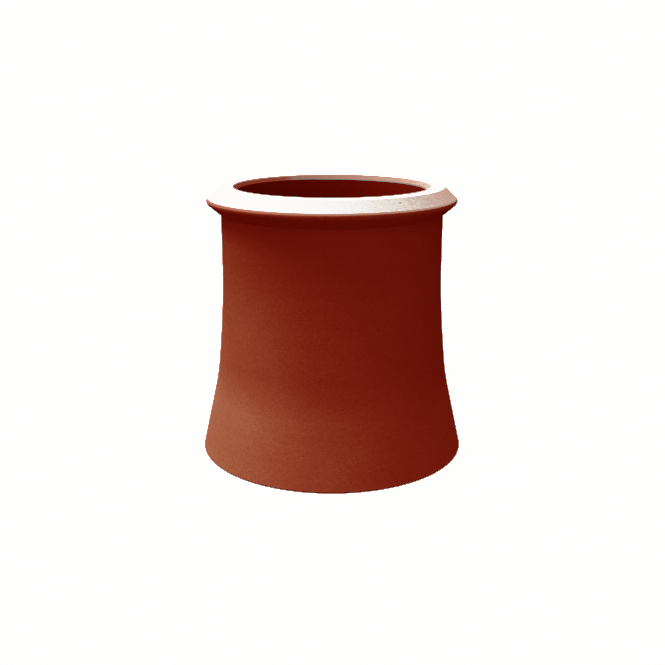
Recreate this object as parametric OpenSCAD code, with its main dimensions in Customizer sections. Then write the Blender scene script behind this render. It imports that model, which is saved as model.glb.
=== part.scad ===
// Short round chimney pot of fired clay: one piece, open right through.
// A flared foot stands on the stack, a straight neck carries an overhanging
// rim that is bevelled above and undercut below, and the flue runs up the middle.
// Units are millimetres. The origin is the centre of the foot's underside, +Z up.

/* [Overall] */
// Height of the pot, from the foot's underside to the flat top of the rim
height = 300; // [290:1:360]
// Thickness of the clay wall, measured square to its face
wall = 18.3; // [14:0.1:22]

/* [Foot] */
// Outer radius of the foot at the ground, before its corner is rounded
foot_r = 150; // [146:0.5:160]
// Rounding of the foot's outer corner
foot_round = 2; // [0.5:0.1:4]
// Rounding of the foot's inner corner
foot_inner_round = 2.5; // [0.5:0.1:4]

/* [Flare] */
// Radius where the steep lower flare would meet the gentle upper flare
knee_r = 130.2; // [127:0.1:136]
// Height where the lower and upper flares would meet
knee_z = 88.2; // [75:0.1:100]
// Radius of the blend between the two flares
knee_blend = 313; // [150:1:400]
// Radius of the straight neck
neck_r = 122.3; // [119:0.1:125]
// Height where the upper flare would meet the neck
neck_z = 178; // [165:1:185]
// Radius of the blend between the upper flare and the neck
neck_blend = 1000; // [400:10:1100]

/* [Rim] */
// Depth from the flat top down to the crease under the rim
rim_depth = 30.1; // [27:0.1:36]
// Softening of the crease where the undercut leaves the neck
crease_round = 3; // [1:0.1:5]
// Radius of the rim's outer corner, before it is rounded
rim_r = 139.6; // [136:0.1:142]
// Depth from the flat top down to the rim's outer corner
nose_depth = 15.3; // [13:0.1:18]
// Rounding of the rim's outer corner
nose_round = 4.2; // [1.5:0.1:6]
// Outer radius of the flat top, before its edge is softened
top_r = 123.4; // [120:0.1:126]
// Softening of the edge between the bevel and the flat top
top_round = 2; // [0.5:0.1:3]

/* [Flue mouth] */
// Radius of the mouth at the flat top
mouth_r = 108.4; // [107:0.1:110]
// Depth of the sloping lip inside the mouth
lip_depth = 5; // [3:0.1:7]
// Softening of the lip's two edges
lip_round = 0.8; // [0.2:0.1:1.2]

/* [Smoothness] */
// Facets around the pot
facets = 180; // [60:12:360]
// Least number of steps in each rounded corner
arc_steps = 6; // [4:1:16]

/* [Hidden] */

bore_r = neck_r - wall;      // straight flue through the neck
crease_z = height - rim_depth;
nose_z = height - nose_depth;

// unit vector from a to b
function unit(a, b) = (b - a) / norm(b - a);

// inward normal of a line that runs up the outside of the wall
function inward(d) = [-d[1], d[0]];

// point p of the outer line, moved in by the wall: d1 and d2 are the unit
// directions of the line before and after it
function inset(p, d1, d2) =
    let (n1 = inward(d1), n2 = inward(d2))
    p + wall * (n1 + n2) / (1 + n1 * n2);

// An arc of radius r in the corner p between its neighbours a and b,
// as points from the a side to the b side
function corner(a, p, b, r) =
    let (
        ua = unit(p, a),
        ub = unit(p, b),
        half = acos(ua * ub) / 2,
        c = p + unit([0, 0], ua + ub) * r / sin(half),
        s = p + ua * r / tan(half) - c,
        e = p + ub * r / tan(half) - c,
        a0 = atan2(s[1], s[0]),
        turn = (atan2(e[1], e[0]) - a0 + 540) % 360 - 180,
        n = max(arc_steps, ceil(abs(turn) * sqrt(r) / 22))
    )
    [for (i = [0:n]) c + r * [cos(a0 + turn * i / n), sin(a0 + turn * i / n)]];

// a closed outline of [point, radius] pairs with every corner rounded
function rounded(path) =
    let (n = len(path))
    [for (i = [0:n - 1])
        each corner(path[(i + n - 1) % n][0], path[i][0], path[(i + 1) % n][0], path[i][1])];

// corners of the outer line, from the ground up
foot = [foot_r, 0];
knee = [knee_r, knee_z];
neck = [neck_r, neck_z];
crease = [neck_r, crease_z];

// the same corners on the inner face, a wall's thickness in
flare_dir = unit(foot, knee);
upper_dir = unit(knee, neck);
foot_in = [foot_r - wall / flare_dir[1], 0];
knee_in = inset(knee, flare_dir, upper_dir);
neck_in = inset(neck, upper_dir, [0, 1]);

section = [
    [foot, foot_round],
    [knee, knee_blend],
    [neck, neck_blend],
    [crease, crease_round],
    [[rim_r, nose_z], nose_round],
    [[top_r, height], top_round],
    [[mouth_r, height], lip_round],
    [[bore_r, height - lip_depth], lip_round],
    [neck_in, neck_blend + wall],
    [knee_in, knee_blend + wall],
    [foot_in, foot_inner_round]
];

// the wall's cross-section, right of the axis
module wall_section() polygon(rounded(section));

// the pot: its wall turned about the axis
module pot()
    color([0.49, 0.16, 0.09])
        rotate_extrude($fn = facets) wall_section();

pot();
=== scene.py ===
import math

import bpy
import numpy as np
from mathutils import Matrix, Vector, noise


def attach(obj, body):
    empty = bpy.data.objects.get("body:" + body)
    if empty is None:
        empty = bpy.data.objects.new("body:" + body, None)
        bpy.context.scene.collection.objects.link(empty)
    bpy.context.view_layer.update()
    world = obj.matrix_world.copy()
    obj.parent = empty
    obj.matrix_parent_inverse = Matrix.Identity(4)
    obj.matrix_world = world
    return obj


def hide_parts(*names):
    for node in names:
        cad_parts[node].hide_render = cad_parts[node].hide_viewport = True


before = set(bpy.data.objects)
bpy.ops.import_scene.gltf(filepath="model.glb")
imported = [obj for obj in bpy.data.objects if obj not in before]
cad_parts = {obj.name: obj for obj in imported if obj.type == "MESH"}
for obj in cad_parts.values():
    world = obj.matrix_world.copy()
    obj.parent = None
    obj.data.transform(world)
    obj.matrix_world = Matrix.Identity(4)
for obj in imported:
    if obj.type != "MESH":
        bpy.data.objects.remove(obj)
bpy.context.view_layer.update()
scene = bpy.context.scene

# ------------------------------------------------------------------ shape
# The section of the wall in millimetres, corner by corner, as in part.scad.
HEIGHT = 300.0
WALL = 18.3
FOOT_R, FOOT_ROUND, FOOT_INNER_ROUND = 150.0, 2.0, 2.5
KNEE_R, KNEE_Z, KNEE_BLEND = 130.2, 88.2, 313.0
NECK_R, NECK_Z, NECK_BLEND = 122.3, 178.0, 1000.0
RIM_DEPTH, CREASE_ROUND = 30.1, 3.0
RIM_R, NOSE_DEPTH, NOSE_ROUND = 139.6, 15.3, 4.2
TOP_R, TOP_ROUND = 123.4, 2.0
MOUTH_R, LIP_DEPTH, LIP_ROUND = 108.4, 5.0, 0.8
BORE_R = NECK_R - WALL

TURNS = 256  # vertices around the pot
STEP = 2.25  # mm between rings on the plain stretches


def unit(v):
    return v / np.linalg.norm(v)


def inset(p, d1, d2):
    n1, n2 = np.array([-d1[1], d1[0]]), np.array([-d2[1], d2[0]])
    return p + WALL * (n1 + n2) / (1 + n1 @ n2)


def corner(a, p, b, r):
    """An arc of radius r in the corner p, as points from the a side to the b side."""
    ua, ub = unit(a - p), unit(b - p)
    half = math.acos(float(ua @ ub)) / 2
    c = p + unit(ua + ub) * r / math.sin(half)
    s, e = p + ua * r / math.tan(half) - c, p + ub * r / math.tan(half) - c
    a0 = math.atan2(s[1], s[0])
    turn = (math.atan2(e[1], e[0]) - a0 + 3 * math.pi) % (2 * math.pi) - math.pi
    n = max(4, round(abs(turn) / math.radians(9)), round(abs(turn) * r / STEP))
    return [c + r * np.array([math.cos(a0 + turn * i / n), math.sin(a0 + turn * i / n)]) for i in range(n + 1)]


def section():
    """Closed outline of the wall as (r, z) points: up the outside, over the rim, down the flue."""
    foot, knee, neck = np.array([FOOT_R, 0.0]), np.array([KNEE_R, KNEE_Z]), np.array([NECK_R, NECK_Z])
    lower, upper = unit(knee - foot), unit(neck - knee)
    path = [
        (foot, FOOT_ROUND),
        (knee, KNEE_BLEND),
        (neck, NECK_BLEND),
        (np.array([NECK_R, HEIGHT - RIM_DEPTH]), CREASE_ROUND),
        (np.array([RIM_R, HEIGHT - NOSE_DEPTH]), NOSE_ROUND),
        (np.array([TOP_R, HEIGHT]), TOP_ROUND),
        (np.array([MOUTH_R, HEIGHT]), LIP_ROUND),
        (np.array([BORE_R, HEIGHT - LIP_DEPTH]), LIP_ROUND),
        (inset(neck, upper, np.array([0.0, 1.0])), NECK_BLEND + WALL),
        (inset(knee, lower, upper), KNEE_BLEND + WALL),
        (np.array([FOOT_R - WALL / lower[1], 0.0]), FOOT_INNER_ROUND),
    ]
    n = len(path)
    out = []
    for i in range(n):
        out.append(corner(path[i - 1][0], path[i][0], path[(i + 1) % n][0], path[i][1]))
    points = []
    for i in range(n):
        arc, nxt = out[i], out[(i + 1) % n]
        points += arc
        a, b = arc[-1], nxt[0]
        run = np.linalg.norm(b - a)
        if run < 0.6:
            continue
        edge = min(0.5, run / 4)  # a ring close to each corner keeps its shading tight
        k = max(1, math.ceil((run - 2 * edge) / STEP))
        for j in range(k + 1):
            points.append(a + (b - a) * (edge + (run - 2 * edge) * j / k) / run)
    return np.array(points)


# Convex arrises of the section and how much each one is rubbed pale.
ARRISES = [
    ((FOOT_R, 0.0), 0.7),
    ((RIM_R, HEIGHT - NOSE_DEPTH), 0.6),
    ((TOP_R, HEIGHT), 1.0),
    ((MOUTH_R, HEIGHT), 1.0),
    ((BORE_R, HEIGHT - LIP_DEPTH), 0.8),
]


def relief(r, z, inner, seed):
    """How far the wetted clay stands off the plain section, in mm, at one ring and angle."""
    c, s = math.cos(seed), math.sin(seed)
    p = Vector((r * c, r * s, z))
    swell = 0.07 * noise.noise(p / 75.0) + 0.025 * noise.noise(p / 28.0 + Vector((7.1, 2.3, 4.7)))
    if inner:
        # turning rings left inside by the maker's tool, uneven in depth and pitch
        drift = 1.6 * noise.noise(Vector((c * 0.9, s * 0.9, z / 140.0)))
        depth = 0.10 + 0.08 * noise.noise(Vector((c * 1.7, s * 1.7, z / 55.0 + 9.0)))
        swell += depth * math.sin(2 * math.pi * z / 10.5 + drift) + 0.05 * math.sin(2 * math.pi * z / 6.1 - 2 * drift)
    return swell


def lathe():
    prof = section()
    n = len(prof)
    theta = np.arange(TURNS) * 2 * math.pi / TURNS
    d = np.roll(prof, -1, 0) - np.roll(prof, 1, 0)
    nrm = np.stack([d[:, 1], -d[:, 0]], 1)
    nrm /= np.linalg.norm(nrm, axis=1)[:, None]
    lip = int(np.argmax((prof[:, 0] < BORE_R + 1) & (np.arange(n) > n // 3)))

    # the clay's own unevenness, eased out towards the foot and the sharp edges
    off = np.zeros((n, TURNS))
    for i, (r, z) in enumerate(prof):
        inner = i > lip and z < HEIGHT - 8 and z > 1
        hold = min(1.0, max(0.0, (z - 0.5) / 8.0))
        if z > HEIGHT - NOSE_DEPTH - 6:
            hold *= 0.35
        if inner:
            hold *= min(1.0, (HEIGHT - 8 - z) / 12.0)
        for j in range(TURNS):
            off[i, j] = hold * relief(r, z, inner, theta[j])
    r = prof[:, 0][:, None] + off * nrm[:, 0][:, None]
    z = np.maximum(prof[:, 1][:, None] + off * nrm[:, 1][:, None], 0.0)
    verts = np.stack([r * np.cos(theta), r * np.sin(theta), z], -1) / 1000

    mesh = bpy.data.meshes.new("pot_clay")
    i = np.arange(n)[:, None]
    j = np.arange(TURNS)[None, :]
    i2, j2 = (i + 1) % n, (j + 1) % TURNS
    quads = np.stack([i * TURNS + j, i * TURNS + j2, i2 * TURNS + j2, i2 * TURNS + j], -1).reshape(-1, 4)
    mesh.from_pydata(verts.reshape(-1, 3).tolist(), [], quads.tolist())
    mesh.polygons.foreach_set("use_smooth", [True] * len(mesh.polygons))

    # one clean map: the angle across, the length along the section up
    run = np.concatenate([[0.0], np.cumsum(np.linalg.norm(np.roll(prof, -1, 0) - prof, axis=1))])
    run /= run[-1]
    u0, u1 = j / TURNS + 0 * i, (j + 1) / TURNS + 0 * i
    v0, v1 = run[i] + 0 * j, run[i + 1] + 0 * j
    uv = np.stack([np.stack([u0, v0], -1), np.stack([u1, v0], -1), np.stack([u1, v1], -1), np.stack([u0, v1], -1)], 2)
    uv = 0.003 + 0.994 * uv.reshape(-1, 2)
    mesh.uv_layers.new(name="OFBake").uv.foreach_set("vector", uv.astype(np.float32).ravel())

    # how rubbed each point is, strongest on the arrises
    worn = np.zeros(n)
    for (ar, az), much in ARRISES:
        away = np.hypot(prof[:, 0] - ar, prof[:, 1] - az)
        worn = np.maximum(worn, much * np.exp(-((away / 2.6) ** 2)))
    wear = mesh.attributes.new("wear", "FLOAT", "POINT")
    wear.data.foreach_set("value", np.repeat(worn, TURNS).astype(np.float32))

    # painted highlight: the bevel and the flat top face up to the lights and are painted pale as if lit; the lip
    # inside them is painted lit on one side and shaded on the other
    steep = nrm[:, 1]
    above = (prof[:, 1] > HEIGHT - NOSE_DEPTH - 6) & (prof[:, 0] > MOUTH_R - 0.4)
    # painted highlight mask: rings facing upwards on the rim
    painted_rim_highlight = np.clip((steep - 0.50) / 0.20, 0, 1) * above
    # mask for the lip's painted highlight and painted shade
    lip_light_and_shade_mask = ((prof[:, 0] < MOUTH_R - 0.4) & (prof[:, 1] > HEIGHT - LIP_DEPTH - 0.4)).astype(float)
    for name, ring in (("painted_rim_highlight", painted_rim_highlight), ("lip", lip_light_and_shade_mask)):
        layer = mesh.attributes.new(name, "FLOAT", "POINT")
        layer.data.foreach_set("value", np.repeat(ring, TURNS).astype(np.float32))

    mesh.update()
    obj = bpy.data.objects.new("pot_clay", mesh)
    scene.collection.objects.link(obj)
    print("section", n, "triangles", 2 * len(quads), "relief mm", off.min().round(3), off.max().round(3))
    return obj


pot = lathe()
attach(pot, "root")
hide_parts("pot")


# --------------------------------------------------------------- material
class Nodes:
    """Short calls for building a node tree."""

    def __init__(self, tree):
        self.tree = tree

    def add(self, kind, **put):
        n = self.tree.nodes.new("ShaderNode" + kind)
        for key, value in put.items():
            setattr(n, key, value)
        return n

    def feed(self, node, **sockets):
        for key, value in sockets.items():
            sock = node.inputs[key.replace("_", " ")]
            if isinstance(value, bpy.types.NodeSocket):
                self.tree.links.new(value, sock)
            else:
                sock.default_value = value
        return node

    def noise(self, at, scale, detail=2.0, rough=0.5):
        n = self.feed(self.add("TexNoise"), Vector=at, Scale=scale, Detail=detail, Roughness=rough)
        return n.outputs["Factor"] if "Factor" in n.outputs else n.outputs["Fac"]

    def span(self, value, lo, hi, to_lo=0.0, to_hi=1.0, smooth=False):
        n = self.add("MapRange", interpolation_type="SMOOTHSTEP" if smooth else "LINEAR")
        self.feed(n, Value=value, From_Min=lo, From_Max=hi, To_Min=to_lo, To_Max=to_hi)
        return n.outputs["Result"]

    def math(self, op, a, b=0.0, c=0.0):
        n = self.add("Math", operation=op)
        for sock, value in zip(n.inputs, (a, b, c)):
            if isinstance(value, bpy.types.NodeSocket):
                self.tree.links.new(value, sock)
            else:
                sock.default_value = value
        return n.outputs["Value"]

    def blend(self, fac, a, b, mode="MIX"):
        n = self.add("Mix", data_type="RGBA", blend_type=mode)
        for name, value in (("Factor_Float", fac), ("A_Color", a), ("B_Color", b)):
            sock = next(s for s in n.inputs if s.identifier == name)
            if isinstance(value, bpy.types.NodeSocket):
                self.tree.links.new(value, sock)
            elif name == "Factor_Float":
                sock.default_value = value
            else:
                sock.default_value = (*value, 1)
        return next(s for s in n.outputs if s.identifier == "Result_Color")


def clay():
    m = bpy.data.materials.new("terracotta")
    m.use_nodes = True
    nt = m.node_tree
    b = nt.nodes["Principled BSDF"]
    k = Nodes(nt)
    at = k.add("TexCoord").outputs["Object"]

    # Fired colour: a deep red-brown that drifts slowly over the pot.
    drift = k.span(k.noise(at, 11.0, 2.0), 0.36, 0.64)
    colour = k.blend(drift, (0.296, 0.0590, 0.0304), (0.304, 0.0610, 0.0316))

    # Grog: scattered pale crumbs of ground brick, and fewer dark iron specks.
    def specks(scale, few, size, depth_seed):
        moved = k.feed(k.add("Mapping"), Vector=at, Location=(depth_seed, 0.37 * depth_seed, 0.0)).outputs["Vector"]
        v = k.feed(k.add("TexVoronoi"), Vector=moved, Scale=scale)
        pick = k.feed(k.add("SeparateColor"), Color=v.outputs["Color"])
        chosen = k.math("GREATER_THAN", pick.outputs["Red"], 1.0 - few)
        broad = k.math("MULTIPLY", pick.outputs["Green"], size)
        near = k.math("SUBTRACT", k.math("ADD", broad, 0.5 * size), v.outputs["Distance"])
        return k.math("MULTIPLY", k.span(near, 0.0, 0.07, smooth=True), chosen)

    grog = specks(420.0, 0.30, 0.20, 0.0)
    iron = specks(300.0, 0.12, 0.14, 3.0)
    colour = k.blend(k.math("MULTIPLY", grog, 0.5), colour, (0.325, 0.0670, 0.0355))
    colour = k.blend(k.math("MULTIPLY", iron, 0.4), colour, (0.19, 0.034, 0.018))

    # Arrises handled and rubbed a little paler, in patches.
    def layer(name):
        return k.add("Attribute", attribute_type="GEOMETRY", attribute_name=name).outputs["Fac"]

    patchy = k.span(k.noise(at, 60.0, 4.0, 0.6), 0.40, 0.66)
    rubbed = k.math("MULTIPLY", k.math("MULTIPLY", layer("wear"), patchy), 0.35)
    colour = k.blend(rubbed, colour, (0.36, 0.078, 0.043))

    # Faint bands where the wet clay was wiped round.
    turned = k.feed(k.add("Mapping"), Vector=at, Scale=(5.0, 5.0, 150.0)).outputs["Vector"]
    bands = k.span(k.noise(turned, 1.0, 3.0), 0.3, 0.7, 0.993, 1.007)
    # Sandy grain in the body of the clay, coarse and fine.
    coarse = k.span(k.noise(at, 230.0, 3.0, 0.6), 0.3, 0.7, 0.984, 1.016)
    fine = k.span(k.noise(at, 900.0, 3.0, 0.65), 0.3, 0.7, 0.955, 1.045)
    grain = k.math("MULTIPLY", k.math("MULTIPLY", coarse, fine), bands)
    tone = k.add("CombineColor")
    k.feed(tone, Red=grain, Green=k.math("POWER", grain, 1.1), Blue=k.math("POWER", grain, 1.15))
    colour = k.blend(1.0, colour, tone.outputs["Color"], "MULTIPLY")

    # Painted highlight: the rim's up-facing faces are painted pale as if lit from above, with their own soft grain.
    sandy = k.span(k.noise(at, 260.0, 3.0, 0.6), 0.3, 0.7)
    rim_highlight_colour = k.blend(sandy, (0.346, 0.258, 0.243), (0.354, 0.266, 0.251))
    # The painted highlight fades out through a greyer brown.
    colour = k.blend(k.span(layer("painted_rim_highlight"), 0.0, 0.5), colour, (0.272, 0.150, 0.130))
    colour = k.blend(k.span(layer("painted_rim_highlight"), 0.5, 1.0), colour, rim_highlight_colour)
    # Painted light on the lip inside the mouth: a painted highlight on the side facing the lights, fading across to a
    # painted darker shade on the other side.
    across = k.feed(k.add("SeparateXYZ"), Vector=at).outputs["X"]
    across = k.math("ADD", across, k.math("MULTIPLY", k.math("SUBTRACT", k.noise(at, 90.0, 2.0), 0.5), 0.03))
    lip_highlight_colour = k.blend(sandy, (0.307, 0.226, 0.212), (0.315, 0.234, 0.220))
    lip_lit_side = k.math("POWER", k.span(across, -0.058, 0.052), 1.5)
    # the darker colour is painted shade, the paler one painted highlight
    lip = k.blend(lip_lit_side, (0.225, 0.0475, 0.0252), lip_highlight_colour)
    colour = k.blend(layer("lip"), colour, lip)
    nt.links.new(colour, b.inputs["Base Color"])

    # Dry and matt, a touch tighter where it is rubbed.
    rough = k.span(k.noise(at, 320.0, 3.0, 0.6), 0.3, 0.7, 0.76, 0.90)
    rough = k.math("SUBTRACT", rough, k.math("MULTIPLY", rubbed, 0.12))
    nt.links.new(rough, b.inputs["Roughness"])
    b.inputs["Specular IOR Level"].default_value = 0.0

    # Surface: pinholes, sandy tooth, wiping lines.
    holes = specks(250.0, 0.16, 0.16, 11.0)
    tooth = k.math("ADD", k.noise(at, 700.0, 3.0, 0.6), k.math("MULTIPLY", k.noise(at, 210.0, 2.0), 1.2))
    lines = k.feed(k.add("Mapping"), Vector=at, Scale=(12.0, 12.0, 620.0)).outputs["Vector"]
    tooth = k.math("ADD", tooth, k.math("MULTIPLY", k.noise(lines, 1.0, 2.0), 0.35))
    tooth = k.math("ADD", tooth, k.math("MULTIPLY", grog, 0.35))
    height = k.math("SUBTRACT", tooth, k.math("MULTIPLY", holes, 2.4))
    bump = k.feed(k.add("Bump"), Height=height, Strength=1.0, Distance=0.00007)
    nt.links.new(bump.outputs["Normal"], b.inputs["Normal"])
    return m


pot.data.materials.append(clay())

# ------------------------------------------------------------------ stage
# The pot stands in a light tent: an even white floor and backdrop behind it,
# and the same soft glow on it from every side, so it throws no shadow.
def set_up(name, verts, faces):
    mesh = bpy.data.meshes.new(name)
    mesh.from_pydata(verts, [], faces)
    mesh.materials.append(paper)
    obj = bpy.data.objects.new(name, mesh)
    scene.collection.objects.link(obj)
    # seen by the camera only: the glow that lights the pot is the world's
    obj.visible_diffuse = obj.visible_glossy = obj.visible_transmission = False
    obj.visible_volume_scatter = obj.visible_shadow = False


paper = bpy.data.materials.new("white_paper")
paper.use_nodes = True
glow = paper.node_tree.nodes.new("ShaderNodeEmission")
glow.inputs["Color"].default_value = (1, 0.87, 0.84, 1)
glow.inputs["Strength"].default_value = 0.88
paper.node_tree.nodes.remove(paper.node_tree.nodes["Principled BSDF"])
paper.node_tree.links.new(glow.outputs["Emission"], paper.node_tree.nodes["Material Output"].inputs["Surface"])

R, N, M = 12.0, 48, 12
ring = [(R * math.cos(2 * math.pi * i / N), R * math.sin(2 * math.pi * i / N), 0.0) for i in range(N)]
set_up("floor", ring, [tuple(range(N))])
dome = [
    (x * math.cos(e), y * math.cos(e), R * math.sin(e))
    for e in (math.pi / 2 * m / M for m in range(M))
    for x, y, _ in ring
]
walls = [
    (m * N + i, m * N + (i + 1) % N, (m + 1) * N + (i + 1) % N, (m + 1) * N + i)
    for m in range(M - 1)
    for i in range(N)
]
set_up("backdrop", dome, walls + [tuple((M - 1) * N + i for i in range(N))])

world = bpy.data.worlds.new("studio")
scene.world = world
world.use_nodes = True
bg = world.node_tree.nodes["Background"]
bg.inputs["Color"].default_value = (1, 1, 1, 1)
bg.inputs["Strength"].default_value = 0.62


def soft_light(name, elevation, azimuth, strength):
    """A wide soft light far away. Azimuth 0 is the camera's side, 270 its left."""
    e, a = math.radians(elevation), math.radians(azimuth)
    d = Vector((math.sin(a) * math.cos(e), -math.cos(a) * math.cos(e), math.sin(e)))
    light = bpy.data.lights.new(name, "SUN")
    light.energy = strength * math.pi
    light.angle = math.radians(30)
    o = bpy.data.objects.new(name, light)
    o.rotation_euler = d.to_track_quat("Z", "Y").to_euler()
    scene.collection.objects.link(o)


soft_light("overhead", 90, 0, 0.42)
soft_light("upper_left", 65, 270, 0.71)
soft_light("low_left", 12, 250, 0.09)
soft_light("upper_back", 65, 180, 0.40)
soft_light("front_fill", 15, 0, 0.167)

# ----------------------------------------------------------------- camera
cam = bpy.data.cameras.new("camera")
cam.sensor_width = 36
cam.lens = 49.664
camera = bpy.data.objects.new("camera", cam)
scene.collection.objects.link(camera)
camera.location = (0.00062, -1.01510, 0.41669)
camera.rotation_euler = (math.pi / 2 - 0.27385, 0, 0)
scene.camera = camera

# ------------------------------------------------------------------ grade
# A bright, hard print like a catalogue photograph: the lit rim burns out
# almost to white and the shaded clay falls to deep red. One response curve a
# channel. Green and blue climb steeply through the clay's own range, then run
# nearly flat up to the bloom's, so that an edge blended with the white floor
# stays neutral and has no blue line along it.
view = scene.view_settings
view.view_transform = "Standard"
view.look = "None"
view.exposure = 0.0
view.gamma = 1.0
view.use_curve_mapping = True
curves = view.curve_mapping
curves.extend = "HORIZONTAL"
curves.black_level = (0.0, 0.0, 0.0)
WHITE = (0.85, 0.85, 0.85)
RESPONSE = [
    [(0.0988, 0.02), (0.1894, 0.07), (0.2388, 0.113), (0.2965, 0.166), (0.3376, 0.215), (0.4153, 0.348), (0.4588, 0.418), (0.5059, 0.47), (0.6176, 0.578), (0.6494, 0.75), (0.6765, 0.89), (0.7118, 0.965), (0.8588, 0.988)],
    [(0.0235, 0.001), (0.0424, 0.003), (0.0541, 0.007), (0.0618, 0.012), (0.0674, 0.023), (0.0766, 0.053), (0.0828, 0.085), (0.0929, 0.138), (0.1176, 0.168), (0.1529, 0.186), (0.3529, 0.26), (0.4529, 0.345), (0.4729, 0.48), (0.4953, 0.77), (0.5235, 0.925), (0.5529, 0.96), (0.6588, 0.978)],
    [(0.0118, 0.0), (0.0235, 0.001), (0.0312, 0.0042), (0.0353, 0.009), (0.0395, 0.022), (0.0429, 0.04), (0.0476, 0.075), (0.0647, 0.108), (0.0882, 0.12), (0.3294, 0.2), (0.4259, 0.265), (0.4435, 0.4), (0.4647, 0.69), (0.4882, 0.89), (0.5235, 0.945), (0.6235, 0.965)],
]
curves.white_level = WHITE
for curve, points in zip(curves.curves, RESPONSE):
    for at, value in points:
        curve.points.new(at, value)
    for p in curve.points:
        p.handle_type = "AUTO_CLAMPED"
curves.update()
